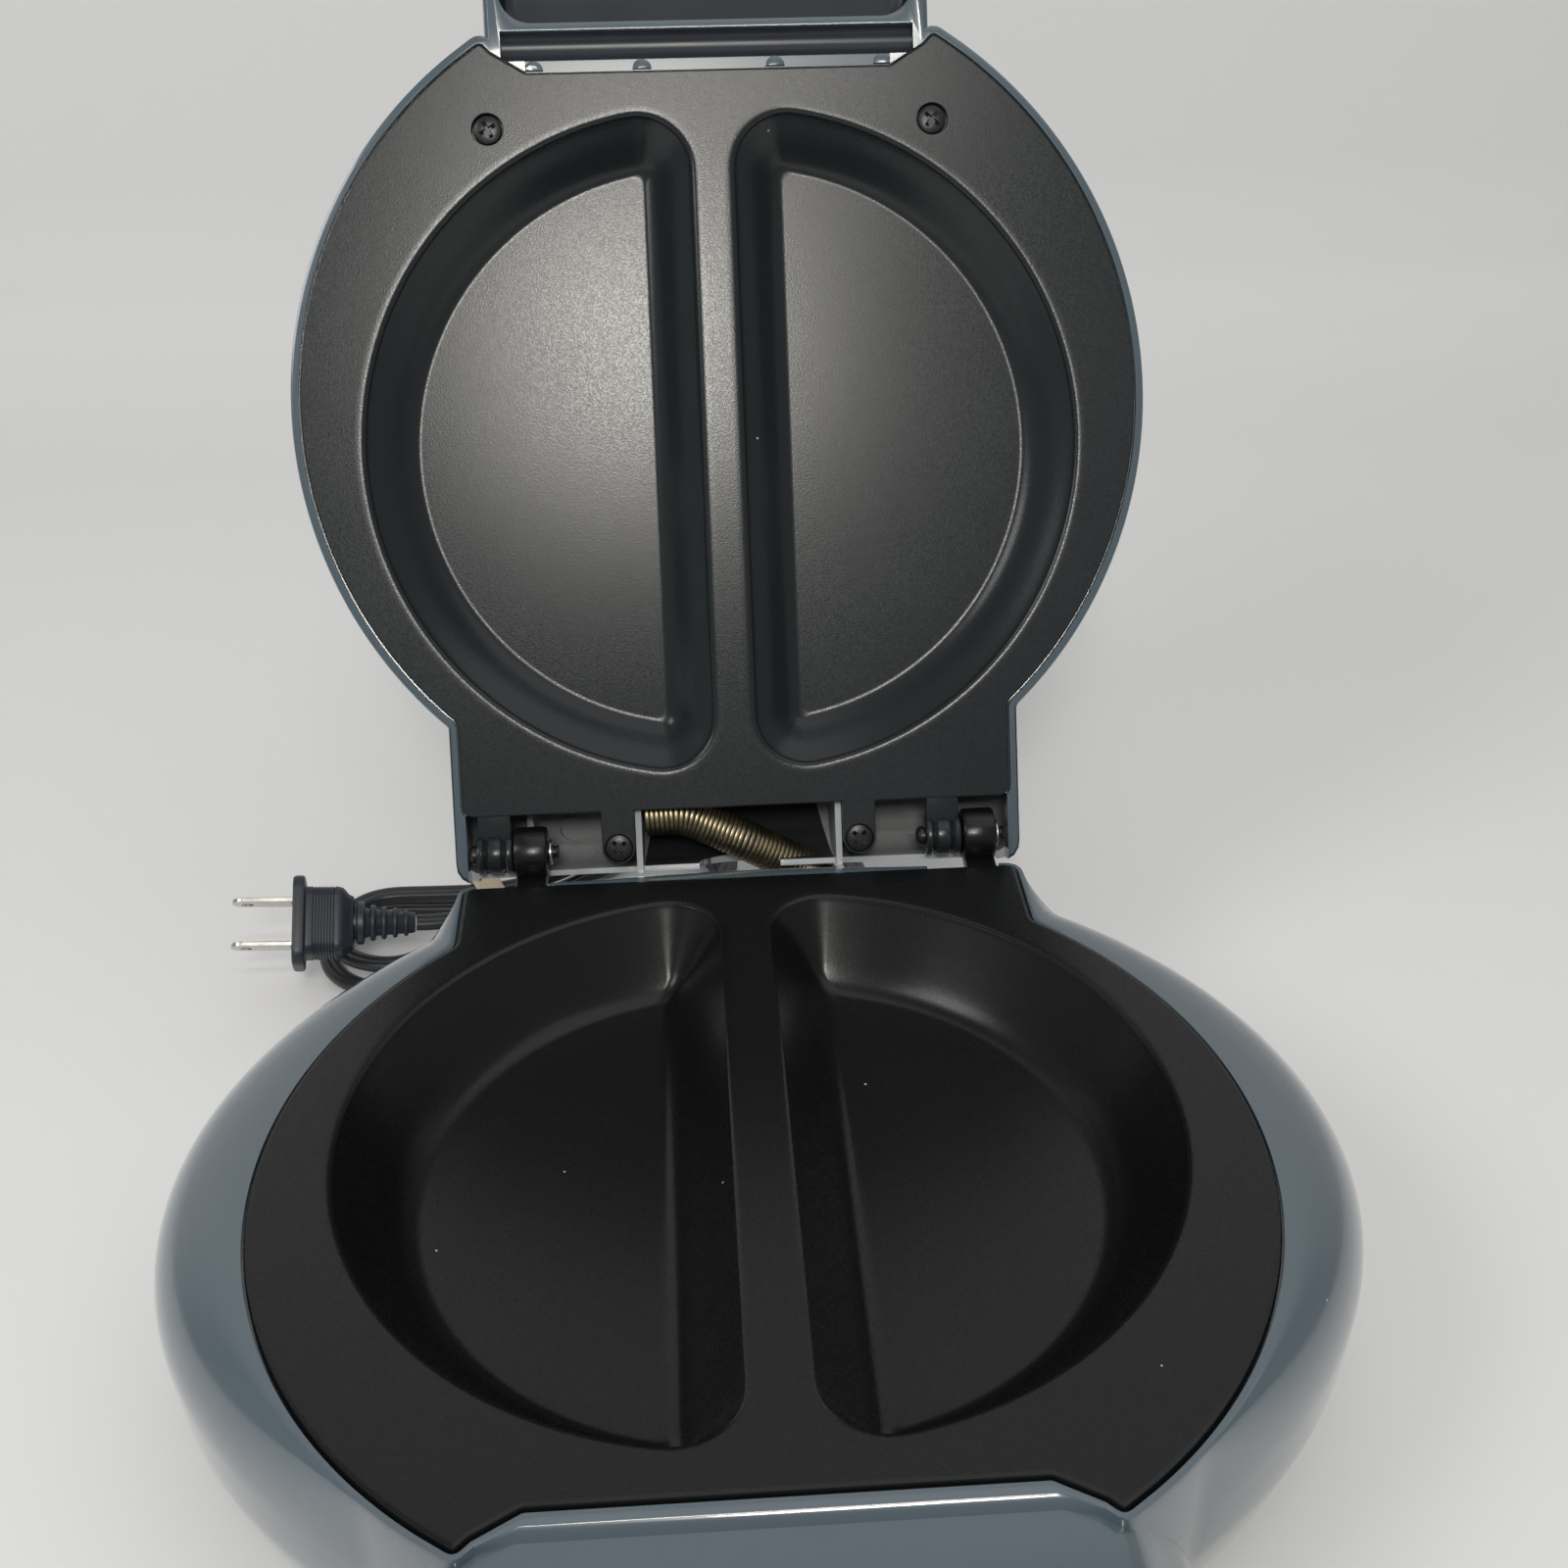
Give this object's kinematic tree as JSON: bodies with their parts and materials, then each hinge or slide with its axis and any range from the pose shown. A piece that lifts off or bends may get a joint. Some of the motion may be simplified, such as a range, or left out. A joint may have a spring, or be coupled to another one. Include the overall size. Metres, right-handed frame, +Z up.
{
  "type": "electric breakfast cooker",
  "caption": "Hinged electric breakfast cooker with half-moon wells in its base and lid plates, open, its cord tied up behind it.",
  "frame": {"origin": "centre of the bounding box of the open cooker without its cord, on the surface it stands on", "axes": "+Z up, +X to the right seen from the front, -Y towards the front where the lid is opened, hinge line along X at the back"},
  "size_m": [0.2737, 0.3594, 0.2824],
  "materials": {
    "slate_plastic": "glossy moulded plastic, dark slate blue",
    "nonstick": "cast aluminium with a satin dark non-stick coating",
    "steel": "plain steel",
    "aluminium": "pressed aluminium sheet, dull",
    "brass": "wound metal sleeve, dull and slightly golden",
    "black_screw": "blackened steel",
    "dark_plastic": "matt black plastic",
    "rubber": "matt black rubber",
    "cord_vinyl": "soft black vinyl",
    "blade_metal": "plated plug blades",
    "ceramic": "unglazed ceramic",
    "red_lens": "clear red lamp cover",
    "green_lens": "clear green lamp cover",
    "cream_tie": "cream band"
  },
  "bodies": {
    "base": {"base_housing": "slate_plastic", "base_thermostat": "ceramic", "bottom_cover": "dark_plastic", "conduit_bush": "dark_plastic", "cord_gland": "rubber", "cord_hank": "cord_vinyl", "cord_lead": "cord_vinyl", "cord_tail": "cord_vinyl", "cord_tie": "cream_tie", "cover_screw_front_left": "black_screw", "cover_screw_front_right": "black_screw", "cover_screw_rear_left": "black_screw", "cover_screw_rear_right": "black_screw", "hinge_pin_left": "black_screw", "hinge_pin_right": "black_screw", "lower_element": "steel", "lower_heat_pan": "aluminium", "lower_plate": "nonstick", "pin_clip_left": "steel", "pin_clip_right": "steel", "plug_blade_lower": "blade_metal", "plug_blade_upper": "blade_metal", "plug_body": "rubber", "rubber_foot_front_left": "rubber", "rubber_foot_front_right": "rubber", "rubber_foot_rear_left": "rubber", "rubber_foot_rear_right": "rubber", "terminal_block": "ceramic", "thermal_fuse": "aluminium", "wire_conduit": "brass"},
    "lid": {"lid_housing": "slate_plastic", "upper_plate": "nonstick", "upper_element": "steel", "upper_heat_pan": "aluminium", "lid_thermostat": "ceramic", "lamp_holder": "dark_plastic", "power_lens": "red_lens", "ready_lens": "green_lens", "plate_screw_front_left": "black_screw", "plate_screw_front_right": "black_screw", "plate_screw_hinge_left": "black_screw", "plate_screw_hinge_right": "black_screw"}
  },
  "joints": [
    {"name": "lid_hinge", "type": "hinge", "parent": "base", "child": "lid", "pos_m": [0, 0.06051, 0.0631], "axis": [1, 0, 0], "range_deg": [0, 116], "deforming": ["wire_conduit"]}
  ]
}
